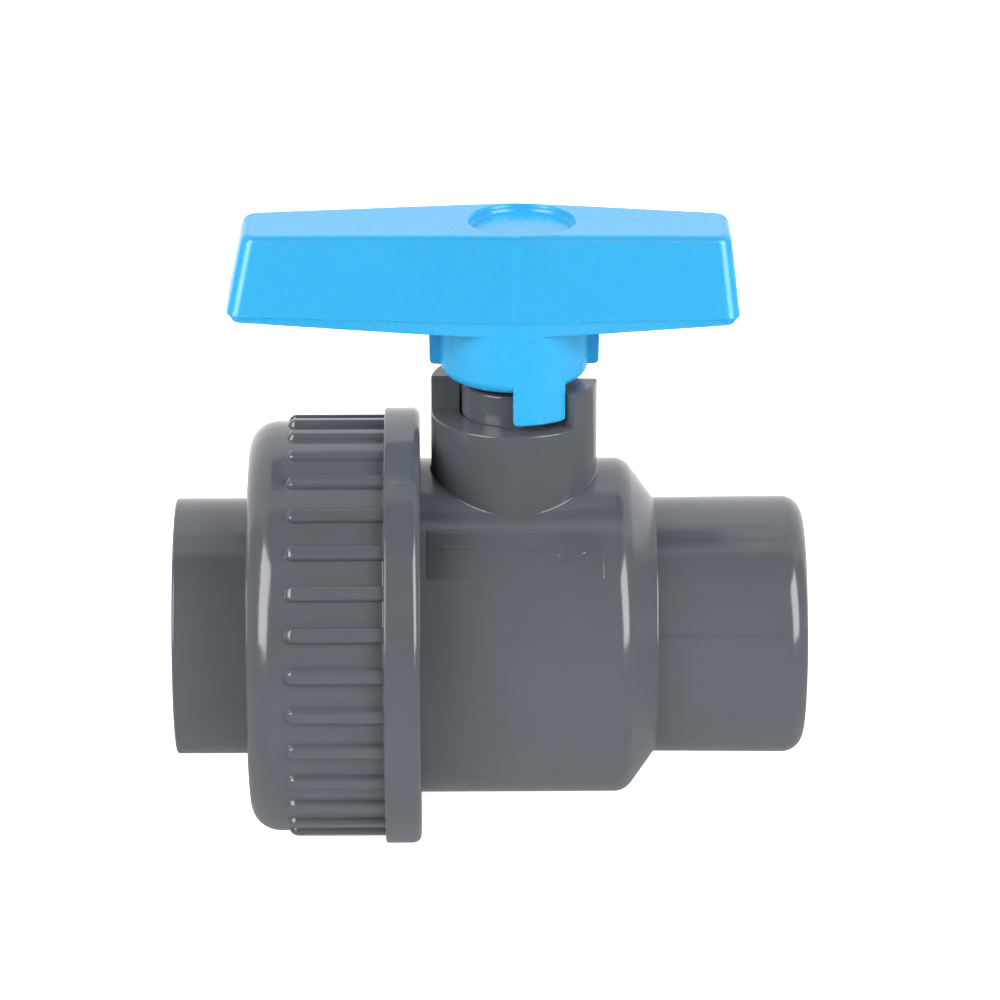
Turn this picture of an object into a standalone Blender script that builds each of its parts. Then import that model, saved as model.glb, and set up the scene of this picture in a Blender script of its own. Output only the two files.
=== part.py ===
"""Single-union PVC ball valve, 50 mm solvent sockets, T-handle, open position.

Metres, +Z up. The origin is the centre of the ball: X runs along the pipe
towards the fixed socket, Z is the stem axis.
"""
import math

import bmesh
import bpy
from mathutils import Matrix, Vector

MM = 0.001
GAP = 0.3 * MM              # clearance between pieces that touch

# Pipe sockets
SOCKET_R = 25.0 * MM        # bore of a socket for 50 mm pipe
SOCKET_DEPTH = 31.0 * MM
SOCKET_OUTER_R = 31.2 * MM
FLOW_R = 19.0 * MM          # waterway through the ball and both ends

# Ball and seats
BALL_R = 29.5 * MM
SLOT_WIDTH = 8.0 * MM       # stem slot across the top of the ball
SLOT_FLOOR = 22.6 * MM
SEAT_CONTACT = 45.0         # degrees from the pipe axis to the seat's contact ring
SEAT_BORE_R = 19.5 * MM
SEAT_OUTER_R = 26.5 * MM
SEAT_FRONT_X = 17.1 * MM
SEAT_BACK_X = 25.5 * MM
CUSHION_R = 23.1 * MM       # O-ring behind each seat
CUSHION_SECTION_R = 1.3 * MM
CUSHION_GROOVE_DEPTH = 3.0 * MM
CUSHION_GROOVE_WIDTH = 3.6 * MM

# Body
BODY_LEFT = -46.2 * MM
BODY_RIGHT = 70.3 * MM
BARREL_R = 40.8 * MM
BARREL_END = 26.8 * MM      # where the barrel turns into the cone
CONE_END = 33.9 * MM
BARREL_CORNER_R = 4.0 * MM
CHAMBER_R = 33.5 * MM
CARRIER_RECESS_R = 36.5 * MM
CARRIER_RECESS_DEPTH = 4.3 * MM
SOCKET_CORNER_R = 5.0 * MM

# Neck, stem and handle travel
NECK_R = 20.0 * MM
NECK_TOP = 63.85 * MM
POCKET_FLOOR = 55.5 * MM    # ledges under the handle's stop lugs
POCKET_START = -92.5        # front pocket, degrees from the front towards +X
POCKET_END = 45.5
HALF_TURN = 180.0           # the back pocket and lug lie opposite the front ones
STEM_BORE_R = 13.0 * MM
STEM_R = 12.6 * MM
COLLAR_R = 15.6 * MM
COLLAR_BOTTOM = 30.6 * MM
COLLAR_TOP = 35.4 * MM
STEM_SHOULDER = 63.2 * MM
STEM_CHAMFER = 0.8 * MM
DRIVE_TOP = 80.0 * MM
DRIVE_WIDTH = 14.0 * MM     # square drive of the stem
TANG_WIDTH = 7.3 * MM
TANG_LENGTH = 17.0 * MM
STEM_RING_HEIGHTS = (42.0 * MM, 49.0 * MM)
STEM_RING_R = 11.4 * MM
STEM_RING_SECTION_R = 1.25 * MM
STEM_GROOVE_R = 9.7 * MM
STEM_GROOVE_WIDTH = 3.2 * MM

# Union
THREAD_PITCH = 6.0 * MM
THREAD_CREST_R = 43.7 * MM
THREAD_SINK = 1.0 * MM      # how far a ridge's foot runs into the wall
BODY_RIDGE_WIDTHS = (3.4 * MM, 1.3 * MM)    # at the foot and at the crest
NUT_RIDGE_WIDTHS = (3.6 * MM, 1.5 * MM)
NUT_THREAD_R = 44.2 * MM    # bore of the nut outside its thread
NUT_THREAD_TIP_R = 41.3 * MM
BODY_THREAD_START = -44.0 * MM
BODY_THREAD_TURNS = 3.0
NUT_THREAD_START = BODY_THREAD_START + THREAD_PITCH / 2
NUT_THREAD_TURNS = 2.5
NUT_LEFT = -64.1 * MM
NUT_RIGHT = -22.7 * MM
NUT_R = 50.0 * MM
NUT_SHOULDER = -55.9 * MM   # inner face that pulls on the connector's flange
NUT_HOLE_R = 32.0 * MM
NUT_CORNER_R = 7.0 * MM
RIB_SINK = 1.0 * MM         # the ribs end inside the collar
COLLAR_CHAMFER = 0.6 * MM
COLLAR_CORNER_R = 2.0 * MM
RIB_COUNT = 32
RIB_R = 51.5 * MM
RIB_WIDTH = 3.8 * MM
RIB_START = -54.6 * MM
RIB_PHASE = 7.35            # degrees, one rib's place above the front
COLLAR_START = -31.3 * MM   # the nut's raised end collar
NUT_COLLAR_R = 53.2 * MM
CONNECTOR_LEFT = -82.2 * MM
CONNECTOR_EDGE = 0.7 * MM
CONNECTOR_FLANGE_R = 40.0 * MM
FLANGE_PLAY = 2.0 * MM
CONNECTOR_RIGHT = BODY_LEFT - GAP

# Seal carrier
CARRIER_R = 33.2 * MM
CARRIER_FRONT_X = -16.5 * MM
CARRIER_FLANGE_R = 36.2 * MM
CARRIER_FLANGE_WIDTH = 4.0 * MM
CARRIER_RING_X = -35.7 * MM
CARRIER_GROOVE_R = 29.9 * MM
CARRIER_GROOVE_WIDTH = 3.6 * MM
CARRIER_RING_R = 31.85 * MM
CARRIER_RING_SECTION_R = 1.35 * MM
FACE_RING_R = 28.0 * MM
FACE_RING_SECTION_R = 1.3 * MM
FACE_GROOVE_DEPTH = 3.1 * MM
FACE_GROOVE_WIDTH = 3.6 * MM

# Handle
HUB_R = 17.7 * MM
HUB_TOP = 82.2 * MM         # the wide hub ends inside the bar
HUB_CORE_R = 12.0 * MM      # solid core up to the bar's top wall
HUB_SHOULDER = 68.3 * MM    # where the hub's wall starts to round inwards
HUB_BOTTOM = 64.7 * MM
HUB_BOTTOM_R = 13.2 * MM
LUG_BOTTOM = 57.3 * MM
LUG_START = -1.5            # front lug, degrees from the front towards +X
LUG_END = 43.5
LUG_INNER_R = 13.4 * MM
LUG_OUTER_R = 17.6 * MM
DRIVE_SOCKET = 14.6 * MM
DRIVE_SOCKET_TOP = 82.0 * MM
BAR_LEFT_BOTTOM = -68.4 * MM
BAR_LEFT_TOP = -64.6 * MM
BAR_RIGHT_BOTTOM = 53.5 * MM
BAR_RIGHT_TOP = 51.3 * MM
# Heights of the bar at its left end, over the stem and at its right end
BAR_TOP = (102.5 * MM, 103.5 * MM, 102.0 * MM)
BAR_BREAK = (84.0 * MM, 83.3 * MM, 82.9 * MM)   # line where the flared sides turn inwards
BAR_BOTTOM = (82.1 * MM, 79.0 * MM, 81.0 * MM)
BAR_HALF_END = 10.5 * MM    # half width of the top at the ends
BAR_HALF_MIDDLE = 14.5 * MM
BAR_FLARE = 3.8 * MM        # each side's flare from the top to the break line
BAR_TUCK = 0.9 * MM         # how far the sides turn in again at the bottom
BAR_WALL = 3.0 * MM
WEB_BOTTOM = 87.0 * MM      # lengthwise web in the bar's hollow
WEB_HALF_WIDTH = 1.2 * MM
BAR_CORNER_R = 3.5 * MM
EAR_REACH = 20.4 * MM       # stiffening ribs beside the hub
EAR_HALF_WIDTH = 1.6 * MM
EAR_BOTTOM = 67.6 * MM
RECESS_R = 12.7 * MM
RECESS_X = 1.9 * MM
RECESS_DEPTH = 2.2 * MM

FINE = 48                   # sides of the large turned pieces
MEDIUM = 40                 # sides of the ball's neighbours
COARSE = 32                 # sides of the small ones
THREAD_STEPS = 24           # steps in one turn of a thread
RING_SIDES = (24, 6)        # an O-ring's sides around and across

GREY = (0.115, 0.124, 0.137)
BLUE = (0.045, 0.44, 0.87)
WHITE = (0.83, 0.83, 0.80)
BLACK = (0.012, 0.012, 0.013)


def clear_scene():
    for obj in list(bpy.data.objects):
        bpy.data.objects.remove(obj, do_unlink=True)


def new_collection(name):
    collection = bpy.data.collections.new(name)
    bpy.context.scene.collection.children.link(collection)
    return collection


def new_material(name, colour, roughness):
    material = bpy.data.materials.new(name)
    material.use_nodes = True
    shader = material.node_tree.nodes["Principled BSDF"]
    shader.inputs["Base Color"].default_value = (*colour, 1.0)
    shader.inputs["Roughness"].default_value = roughness
    shader.inputs["Metallic"].default_value = 0.0
    return material


def add_object(name, mesh, collection):
    obj = bpy.data.objects.new(name, mesh)
    collection.objects.link(obj)
    return obj


def finish_mesh(name, bm):
    bmesh.ops.recalc_face_normals(bm, faces=bm.faces)
    mesh = bpy.data.meshes.new(name)
    bm.to_mesh(mesh)
    bm.free()
    return mesh


def arc(centre_x, centre_r, radius, start, end, steps=5):
    """Points (x, r) of an arc; angles in degrees, 0 along +x, 90 outwards."""
    points = []
    for step in range(steps + 1):
        angle = math.radians(start + (end - start) * step / steps)
        points.append((centre_x + radius * math.cos(angle), centre_r + radius * math.sin(angle)))
    return points


def turned(name, profile, collection, sides=FINE, axis="X"):
    """A closed profile of (along, radius) points turned about the X or Z axis."""
    bm = bmesh.new()
    corners = [bm.verts.new((radius, 0.0, along)) for along, radius in profile]
    for first, second in zip(corners, corners[1:] + corners[:1]):
        bm.edges.new((first, second))
    bmesh.ops.spin(
        bm, geom=bm.verts[:] + bm.edges[:], cent=(0, 0, 0), axis=(0, 0, 1),
        angle=math.tau, steps=sides, use_merge=True)
    bmesh.ops.remove_doubles(bm, verts=bm.verts, dist=1e-6)
    if axis == "X":
        bmesh.ops.rotate(bm, verts=bm.verts, matrix=Matrix.Rotation(math.radians(90), 3, "Y"))
    return add_object(name, finish_mesh(name, bm), collection)


def mirrored(profile):
    """The same turned profile on the other side of the ball."""
    return [(-along, radius) for along, radius in profile]


def extruded(name, outline, low, high, collection):
    """A flat outline of (x, y) points made into an upright prism."""
    bm = bmesh.new()
    face = bm.faces.new([bm.verts.new((x, y, low)) for x, y in outline])
    lifted = bmesh.ops.extrude_face_region(bm, geom=[face])
    verts = [item for item in lifted["geom"] if isinstance(item, bmesh.types.BMVert)]
    bmesh.ops.translate(bm, verts=verts, vec=(0, 0, high - low))
    return add_object(name, finish_mesh(name, bm), collection)


def box(name, low, high, collection):
    bm = bmesh.new()
    size = Vector(high) - Vector(low)
    bmesh.ops.create_cube(bm, size=1.0)
    bmesh.ops.scale(bm, verts=bm.verts, vec=size)
    bmesh.ops.translate(bm, verts=bm.verts, vec=(Vector(high) + Vector(low)) / 2)
    return add_object(name, finish_mesh(name, bm), collection)


def torus(name, centre, ring_radius, section_radius, axis, collection):
    bpy.ops.mesh.primitive_torus_add(
        major_radius=ring_radius, minor_radius=section_radius,
        major_segments=RING_SIDES[0], minor_segments=RING_SIDES[1])
    obj = bpy.context.active_object
    obj.name = name
    obj.location = centre
    if axis == "X":
        obj.rotation_euler = (0, math.radians(90), 0)
    for owner in list(obj.users_collection):
        owner.objects.unlink(obj)
    collection.objects.link(obj)
    return obj


def helix_ridge(name, start, turns, root_r, tip_r, root_width, tip_width, collection):
    """A right-hand thread ridge about the X axis, swept along its helix."""
    steps = round(turns * THREAD_STEPS)
    bm = bmesh.new()
    section = [(-root_width / 2, root_r), (root_width / 2, root_r),
               (tip_width / 2, tip_r), (-tip_width / 2, tip_r)]
    bm.faces.new([bm.verts.new((start + along, radius, 0.0)) for along, radius in section])
    bmesh.ops.spin(
        bm, geom=bm.verts[:] + bm.edges[:] + bm.faces[:], cent=(0, 0, 0), axis=(1, 0, 0),
        angle=math.tau * turns, steps=steps, dvec=(THREAD_PITCH * turns / steps, 0, 0))
    return add_object(name, finish_mesh(name, bm), collection)


def combine(target, tool, operation, cutters):
    """Boolean modifier with a hidden tool object."""
    for owner in list(tool.users_collection):
        owner.objects.unlink(tool)
    cutters.objects.link(tool)
    tool.hide_render = True
    tool.display_type = "WIRE"
    modifier = target.modifiers.new(tool.name, "BOOLEAN")
    modifier.operation = operation
    modifier.solver = "EXACT"
    modifier.object = tool


def sector(radius, start, end, steps=12):
    """Pie-slice outline in the XY plane; degrees from the front towards +X."""
    points = [(0.0, 0.0)]
    for step in range(steps + 1):
        angle = math.radians(start + (end - start) * step / steps)
        points.append((radius * math.sin(angle), -radius * math.cos(angle)))
    return points


def seat_profile():
    contact = BALL_R / math.cos(math.radians(SEAT_CONTACT)) + GAP * math.sqrt(2)
    return [(contact - SEAT_BORE_R, SEAT_BORE_R), (SEAT_FRONT_X, contact - SEAT_FRONT_X),
            (SEAT_FRONT_X, SEAT_OUTER_R), (SEAT_BACK_X, SEAT_OUTER_R), (SEAT_BACK_X, SEAT_BORE_R)]


def seat_pocket_profile(open_x):
    """Pocket for a seat, from the ball's side at open_x, with its cushion groove."""
    floor = SEAT_BACK_X + GAP
    groove_floor = floor + CUSHION_GROOVE_DEPTH
    groove_in = CUSHION_R - CUSHION_GROOVE_WIDTH / 2
    groove_out = CUSHION_R + CUSHION_GROOVE_WIDTH / 2
    return [(open_x, SEAT_OUTER_R + GAP), (floor, SEAT_OUTER_R + GAP), (floor, groove_out),
            (groove_floor, groove_out), (groove_floor, groove_in), (floor, groove_in),
            (floor, FLOW_R)]


def make_body(parts, cutters):
    """Housing: barrel, cone, fixed socket, neck with two stop pockets, union thread."""
    corner = BODY_RIGHT - SOCKET_CORNER_R
    outside = [(BODY_LEFT, 0), (BODY_LEFT, BARREL_R)]
    outside += arc(BARREL_END - BARREL_CORNER_R, BARREL_R - BARREL_CORNER_R, BARREL_CORNER_R,
                   90, 36, 3)
    outside += [(CONE_END, SOCKET_OUTER_R)]
    outside += arc(corner, SOCKET_OUTER_R - SOCKET_CORNER_R, SOCKET_CORNER_R, 90, 0, 4)
    outside += [(BODY_RIGHT, 0)]
    body = turned("body", outside, parts)

    neck = turned("neck_tube", [(CHAMBER_R / 2, 0), (NECK_TOP, 0), (NECK_TOP, NECK_R),
                                (CHAMBER_R / 2, NECK_R)], cutters, COARSE, "Z")
    combine(body, neck, "UNION", cutters)
    thread = helix_ridge("body_thread", BODY_THREAD_START, BODY_THREAD_TURNS,
                         BARREL_R - THREAD_SINK, THREAD_CREST_R, *BODY_RIDGE_WIDTHS, cutters)
    combine(body, thread, "UNION", cutters)

    socket_floor = BODY_RIGHT - SOCKET_DEPTH
    recess_floor = BODY_LEFT + CARRIER_RECESS_DEPTH
    inside = [(BODY_RIGHT + MM, 0), (BODY_RIGHT + MM, SOCKET_R), (socket_floor, SOCKET_R),
              (socket_floor, FLOW_R)]
    inside += seat_pocket_profile(SEAT_FRONT_X)[::-1]
    inside += [(SEAT_FRONT_X, CHAMBER_R), (recess_floor, CHAMBER_R),
               (recess_floor, CARRIER_RECESS_R), (BODY_LEFT - MM, CARRIER_RECESS_R),
               (BODY_LEFT - MM, 0)]
    combine(body, turned("waterway_and_chamber", inside, cutters), "DIFFERENCE", cutters)
    collar_room = COLLAR_TOP + GAP
    bore = turned("stem_bore", [(BALL_R / 2, 0), (NECK_TOP + MM, 0), (NECK_TOP + MM, STEM_BORE_R),
                                (collar_room, STEM_BORE_R), (collar_room, COLLAR_R + GAP),
                                (BALL_R / 2, COLLAR_R + GAP)], cutters, COARSE, "Z")
    combine(body, bore, "DIFFERENCE", cutters)
    for turn in (0.0, HALF_TURN):
        outline = sector(NECK_R + 2 * MM, POCKET_START + turn, POCKET_END + turn)
        pocket = extruded("stop_pocket", outline, POCKET_FLOOR, NECK_TOP + MM, cutters)
        combine(body, pocket, "DIFFERENCE", cutters)
    return body


def make_nut(parts, cutters):
    """Union nut: ribbed shell with an inner shoulder and a female thread."""
    outside = [(NUT_LEFT, NUT_HOLE_R)]
    outside += arc(NUT_LEFT + NUT_CORNER_R, NUT_R - NUT_CORNER_R, NUT_CORNER_R, 180, 90, 7)
    outside += [(COLLAR_START, NUT_R), (COLLAR_START, NUT_COLLAR_R - COLLAR_CHAMFER),
                (COLLAR_START + COLLAR_CHAMFER, NUT_COLLAR_R)]
    outside += arc(NUT_RIGHT - COLLAR_CORNER_R, NUT_COLLAR_R - COLLAR_CORNER_R, COLLAR_CORNER_R,
                   90, 0, 3)
    flange_room = CONNECTOR_FLANGE_R + FLANGE_PLAY
    inside = [(NUT_RIGHT, NUT_THREAD_R), (BODY_LEFT, NUT_THREAD_R), (BODY_LEFT, flange_room),
              (NUT_SHOULDER, flange_room), (NUT_SHOULDER, NUT_HOLE_R)]
    nut = turned("union_nut", outside + inside, parts)
    thread = helix_ridge("nut_thread", NUT_THREAD_START, NUT_THREAD_TURNS,
                         NUT_THREAD_R + THREAD_SINK, NUT_THREAD_TIP_R, *NUT_RIDGE_WIDTHS, cutters)
    combine(nut, thread, "UNION", cutters)
    ribs = rib_ring(cutters)
    combine(nut, ribs, "UNION", cutters)
    return nut


def rib_ring(cutters):
    """Gear-like ring whose teeth are the nut's grip ribs."""
    right = COLLAR_START + RIB_SINK
    half = RIB_WIDTH / 2 / RIB_R
    pitch = math.tau / RIB_COUNT
    low = NUT_R - 0.8 * MM
    top_share = 0.72
    inner_share = 0.94
    points = []
    for index in range(RIB_COUNT):
        middle = math.radians(RIB_PHASE) + index * pitch
        for offset, radius in ((-half, low), (-half * top_share, RIB_R), (half * top_share, RIB_R),
                               (half, low)):
            angle = middle + offset
            points.append((-radius * math.cos(angle), radius * math.sin(angle)))
    bm = bmesh.new()
    outer = [bm.verts.new((RIB_START, y, z)) for y, z in points]
    inner = [bm.verts.new((RIB_START, *(inner_share * Vector((y, z))))) for y, z in points]
    count = len(points)
    faces = [bm.faces.new((outer[i], outer[(i + 1) % count], inner[(i + 1) % count], inner[i]))
             for i in range(count)]
    lifted = bmesh.ops.extrude_face_region(bm, geom=faces)
    verts = [item for item in lifted["geom"] if isinstance(item, bmesh.types.BMVert)]
    bmesh.ops.translate(bm, verts=verts, vec=(right - RIB_START, 0, 0))
    return add_object("grip_ribs", finish_mesh("grip_ribs", bm), cutters)


def make_connector(parts):
    """End connector: flange held by the nut, and a solvent socket."""
    socket_floor = CONNECTOR_LEFT + SOCKET_DEPTH
    flange_left = NUT_SHOULDER + GAP
    profile = [(CONNECTOR_LEFT, SOCKET_R), (CONNECTOR_LEFT, SOCKET_OUTER_R - CONNECTOR_EDGE),
               (CONNECTOR_LEFT + CONNECTOR_EDGE, SOCKET_OUTER_R), (flange_left, SOCKET_OUTER_R),
               (flange_left, CONNECTOR_FLANGE_R), (CONNECTOR_RIGHT, CONNECTOR_FLANGE_R),
               (CONNECTOR_RIGHT, FLOW_R), (socket_floor, FLOW_R), (socket_floor, SOCKET_R)]
    return turned("end_connector", profile, parts, MEDIUM)


def make_carrier(parts):
    """Seal carrier: pushed into the body, holds one seat against the ball."""
    flange_right = BODY_LEFT + CARRIER_FLANGE_WIDTH
    groove = CARRIER_GROOVE_WIDTH / 2
    face_in = FACE_RING_R - FACE_GROOVE_WIDTH / 2
    face_out = FACE_RING_R + FACE_GROOVE_WIDTH / 2
    face_floor = BODY_LEFT + FACE_GROOVE_DEPTH
    profile = [(BODY_LEFT, FLOW_R), (BODY_LEFT, face_in), (face_floor, face_in),
               (face_floor, face_out), (BODY_LEFT, face_out), (BODY_LEFT, CARRIER_FLANGE_R),
               (flange_right, CARRIER_FLANGE_R), (flange_right, CARRIER_R),
               (CARRIER_RING_X - groove, CARRIER_R), (CARRIER_RING_X - groove, CARRIER_GROOVE_R),
               (CARRIER_RING_X + groove, CARRIER_GROOVE_R), (CARRIER_RING_X + groove, CARRIER_R),
               (CARRIER_FRONT_X, CARRIER_R)]
    profile += mirrored(seat_pocket_profile(-CARRIER_FRONT_X))
    return turned("seal_carrier", profile, parts, MEDIUM)


def make_ball(parts, cutters):
    """Ball with a through waterway and a slot for the stem's tang."""
    bm = bmesh.new()
    bmesh.ops.create_uvsphere(bm, u_segments=MEDIUM, v_segments=MEDIUM // 2, radius=BALL_R)
    bmesh.ops.rotate(bm, verts=bm.verts, matrix=Matrix.Rotation(math.radians(90), 3, "Y"))
    ball = add_object("ball", finish_mesh("ball", bm), parts)
    waterway = turned("waterway", [(-BALL_R - MM, 0), (BALL_R + MM, 0), (BALL_R + MM, FLOW_R),
                                   (-BALL_R - MM, FLOW_R)], cutters, MEDIUM)
    combine(ball, waterway, "DIFFERENCE", cutters)
    slot = box("stem_slot", (-SLOT_WIDTH / 2, -BALL_R, SLOT_FLOOR),
               (SLOT_WIDTH / 2, BALL_R, BALL_R + MM), cutters)
    combine(ball, slot, "DIFFERENCE", cutters)
    return ball


def make_stem(parts, cutters):
    """Stem: tang, retaining collar, two O-ring grooves and a square drive."""
    profile = [(COLLAR_BOTTOM, 0), (COLLAR_BOTTOM, COLLAR_R), (COLLAR_TOP, COLLAR_R),
               (COLLAR_TOP, STEM_R)]
    for height in STEM_RING_HEIGHTS:
        low, high = height - STEM_GROOVE_WIDTH / 2, height + STEM_GROOVE_WIDTH / 2
        profile += [(low, STEM_R), (low, STEM_GROOVE_R), (high, STEM_GROOVE_R), (high, STEM_R)]
    profile += [(STEM_SHOULDER - STEM_CHAMFER, STEM_R), (STEM_SHOULDER, STEM_R - STEM_CHAMFER),
                (STEM_SHOULDER, 0)]
    stem = turned("stem", profile, parts, COARSE, "Z")
    drive = box("square_drive", (-DRIVE_WIDTH / 2, -DRIVE_WIDTH / 2, STEM_SHOULDER - MM),
                (DRIVE_WIDTH / 2, DRIVE_WIDTH / 2, DRIVE_TOP), cutters)
    combine(stem, drive, "UNION", cutters)
    tang = box("tang", (-TANG_WIDTH / 2, -TANG_LENGTH / 2, SLOT_FLOOR + 2 * GAP),
               (TANG_WIDTH / 2, TANG_LENGTH / 2, COLLAR_BOTTOM + MM), cutters)
    combine(stem, tang, "UNION", cutters)
    return stem


def rounded(corners, steps=3):
    """Outline from (x, y, radius) corners, each non-zero radius as an arc."""
    points = []
    count = len(corners)
    for index, (x, y, radius) in enumerate(corners):
        here = Vector((x, y))
        if radius == 0.0:
            points.append((x, y))
            continue
        back = (Vector(corners[index - 1][:2]) - here).normalized()
        ahead = (Vector(corners[(index + 1) % count][:2]) - here).normalized()
        half = back.angle(ahead) / 2
        centre = here + (back + ahead).normalized() * radius / math.sin(half)
        start = here + back * radius / math.tan(half) - centre
        turn = math.pi - 2 * half
        for step in range(steps + 1):
            spoke = start.copy()
            spoke.rotate(Matrix.Rotation(turn * step / steps, 2))
            points.append(tuple(centre + spoke))
    return points


def bar_outline(left, right, half_end, half_middle, inset):
    """Long hexagon seen from above: rounded ends, widest at the stem."""
    left, right = left + inset, right - inset
    half_end, half_middle = half_end - inset, half_middle - inset
    corner = max(BAR_CORNER_R - inset, MM)
    return rounded([(left, -half_end, corner), (0.0, -half_middle, 0.0), (right, -half_end, corner),
                    (right, half_end, corner), (0.0, half_middle, 0.0), (left, half_end, corner)])


def bar_solid(name, levels, collection):
    """Loft through outlines; each level is (outline, heights at its left, middle and right)."""
    bm = bmesh.new()
    rings = []
    for outline, (left_z, middle_z, right_z) in levels:
        left = min(x for x, _ in outline)
        right = max(x for x, _ in outline)
        ring = []
        for x, y in outline:
            share, end_z = (x / left, left_z) if x < 0.0 else (x / right, right_z)
            ring.append(bm.verts.new((x, y, middle_z + (end_z - middle_z) * share)))
        rings.append(ring)
    count = len(rings[0])
    for low, high in zip(rings, rings[1:]):
        for i in range(count):
            bm.faces.new((low[i], low[(i + 1) % count], high[(i + 1) % count], high[i]))
    for ring in (rings[0], rings[-1]):
        bm.faces.new([vert for vert in ring if vert.co.x >= 0.0])
        bm.faces.new([vert for vert in ring if vert.co.x <= 0.0])
    return add_object(name, finish_mesh(name, bm), collection)


def lowered(heights, drop):
    return tuple(height - drop for height in heights)


def bar_levels(inset, top_drop, bottom_extra):
    """The bar's three levels from bottom to top, or a smaller copy for its hollow."""
    wide = bar_outline(BAR_LEFT_BOTTOM, BAR_RIGHT_BOTTOM, BAR_HALF_END + BAR_FLARE,
                       BAR_HALF_MIDDLE + BAR_FLARE, inset)
    narrow = bar_outline(BAR_LEFT_TOP, BAR_RIGHT_TOP, BAR_HALF_END, BAR_HALF_MIDDLE, inset)
    foot = bar_outline(BAR_LEFT_BOTTOM, BAR_RIGHT_BOTTOM, BAR_HALF_END + BAR_FLARE,
                       BAR_HALF_MIDDLE + BAR_FLARE, inset + BAR_TUCK)
    return [(foot, lowered(BAR_BOTTOM, bottom_extra)), (wide, BAR_BREAK),
            (narrow, lowered(BAR_TOP, top_drop))]


def make_handle(parts, cutters):
    """T-handle: hollow bar, hub with square socket, two stop lugs and two ears."""
    handle = bar_solid("handle", bar_levels(0.0, 0.0, 0.0), parts)
    hollow = bar_solid("bar_hollow", bar_levels(BAR_WALL, BAR_WALL, MM), cutters)
    web = box("bar_web", (BAR_LEFT_BOTTOM, -WEB_HALF_WIDTH, WEB_BOTTOM),
              (BAR_RIGHT_BOTTOM, WEB_HALF_WIDTH, max(BAR_TOP)), cutters)
    combine(hollow, web, "DIFFERENCE", cutters)
    combine(handle, hollow, "DIFFERENCE", cutters)
    core_top = min(BAR_TOP) - MM
    fillet = HUB_SHOULDER - HUB_BOTTOM
    hub_profile = [(core_top, 0), (core_top, HUB_CORE_R), (HUB_TOP, HUB_CORE_R), (HUB_TOP, HUB_R)]
    hub_profile += [(HUB_SHOULDER, HUB_R), (HUB_SHOULDER - fillet * 0.5, HUB_R - fillet * 0.35),
                    (HUB_SHOULDER - fillet * 0.87, HUB_R - fillet * 0.95)]
    hub_profile += [(HUB_BOTTOM, HUB_BOTTOM_R + MM), (HUB_BOTTOM, 0)]
    hub = turned("hub", hub_profile, cutters, COARSE, "Z")
    combine(handle, hub, "UNION", cutters)
    ears = box("ears", (-EAR_REACH, -EAR_HALF_WIDTH, EAR_BOTTOM),
               (EAR_REACH, EAR_HALF_WIDTH, core_top), cutters)
    combine(handle, ears, "UNION", cutters)
    for turn in (0.0, HALF_TURN):
        lug = turned("lug", [(LUG_BOTTOM, LUG_INNER_R), (HUB_SHOULDER + MM, LUG_INNER_R),
                             (HUB_SHOULDER + MM, LUG_OUTER_R), (LUG_BOTTOM, LUG_OUTER_R)],
                     cutters, COARSE, "Z")
        keep = extruded("lug_sector", sector(HUB_R + 3 * MM, LUG_START + turn, LUG_END + turn),
                        LUG_BOTTOM - MM, HUB_SHOULDER + 2 * MM, cutters)
        combine(lug, keep, "INTERSECT", cutters)
        combine(handle, lug, "UNION", cutters)
    socket = box("drive_socket", (-DRIVE_SOCKET / 2, -DRIVE_SOCKET / 2, HUB_BOTTOM - MM),
                 (DRIVE_SOCKET / 2, DRIVE_SOCKET / 2, DRIVE_SOCKET_TOP), cutters)
    combine(handle, socket, "DIFFERENCE", cutters)
    floor, above = max(BAR_TOP) - RECESS_DEPTH, max(BAR_TOP) + MM
    recess = turned("cap_recess", [(floor, 0), (above, 0), (above, RECESS_R), (floor, RECESS_R)],
                    cutters, COARSE, "Z")
    recess.location.x = RECESS_X
    combine(handle, recess, "DIFFERENCE", cutters)
    return handle


def finish_part(obj, material):
    obj.data.materials.append(material)
    obj.data.shade_smooth()
    obj.data.set_sharp_from_angle(angle=math.radians(35))


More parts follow.
